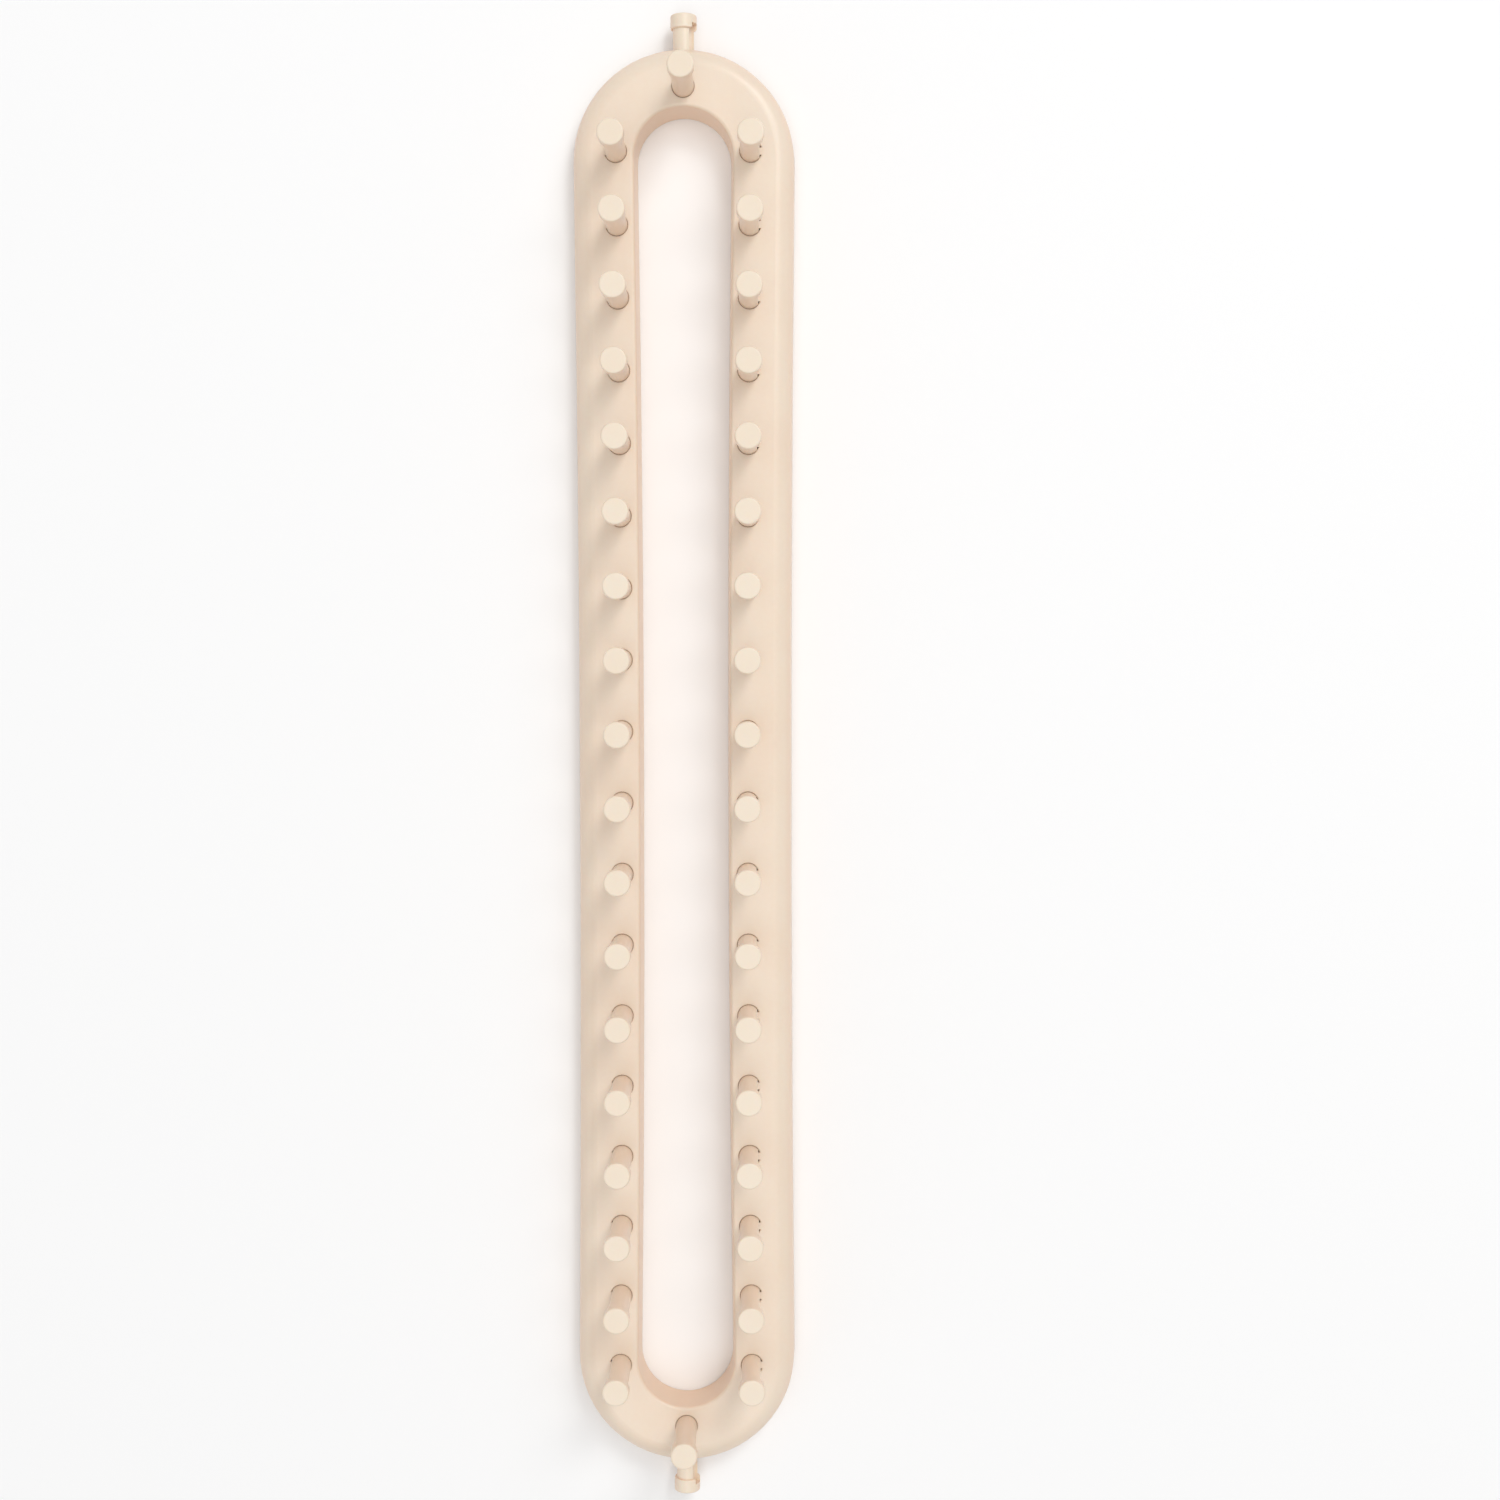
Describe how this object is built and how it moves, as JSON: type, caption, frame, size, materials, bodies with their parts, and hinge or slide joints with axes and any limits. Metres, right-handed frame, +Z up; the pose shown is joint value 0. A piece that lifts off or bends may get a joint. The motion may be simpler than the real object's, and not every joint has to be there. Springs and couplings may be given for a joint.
{
  "type": "long knitting loom",
  "caption": "Long knitting loom: a narrow rounded ring frame, open along its middle, with upright grooved pegs pressed in all round and a level anchor peg at each end.",
  "frame": {"origin": "centre of the frame's base, on the surface that the loom rests on", "axes": "+Z up along the upright pegs, +Y along the loom to its far end, +X to its right side"},
  "size_m": [0.0542, 0.3648, 0.0308],
  "materials": {
    "frame_plastic": "satin, fine moulded texture",
    "peg_plastic": "satin, a little smoother than the frame"
  },
  "bodies": {
    "root": {"frame": "frame_plastic", "peg_left_01": "peg_plastic", "peg_left_02": "peg_plastic", "peg_left_03": "peg_plastic", "peg_left_04": "peg_plastic", "peg_left_05": "peg_plastic", "peg_left_06": "peg_plastic", "peg_left_07": "peg_plastic", "peg_left_08": "peg_plastic", "peg_left_09": "peg_plastic", "peg_left_10": "peg_plastic", "peg_left_11": "peg_plastic", "peg_left_12": "peg_plastic", "peg_left_13": "peg_plastic", "peg_left_14": "peg_plastic", "peg_left_15": "peg_plastic", "peg_left_16": "peg_plastic", "peg_left_17": "peg_plastic", "peg_left_18": "peg_plastic", "peg_right_01": "peg_plastic", "peg_right_02": "peg_plastic", "peg_right_03": "peg_plastic", "peg_right_04": "peg_plastic", "peg_right_05": "peg_plastic", "peg_right_06": "peg_plastic", "peg_right_07": "peg_plastic", "peg_right_08": "peg_plastic", "peg_right_09": "peg_plastic", "peg_right_10": "peg_plastic", "peg_right_11": "peg_plastic", "peg_right_12": "peg_plastic", "peg_right_13": "peg_plastic", "peg_right_14": "peg_plastic", "peg_right_15": "peg_plastic", "peg_right_16": "peg_plastic", "peg_right_17": "peg_plastic", "peg_right_18": "peg_plastic", "end_peg_far": "peg_plastic", "end_peg_near": "peg_plastic", "anchor_peg_far": "peg_plastic", "anchor_peg_near": "peg_plastic"}
  },
  "joints": []
}
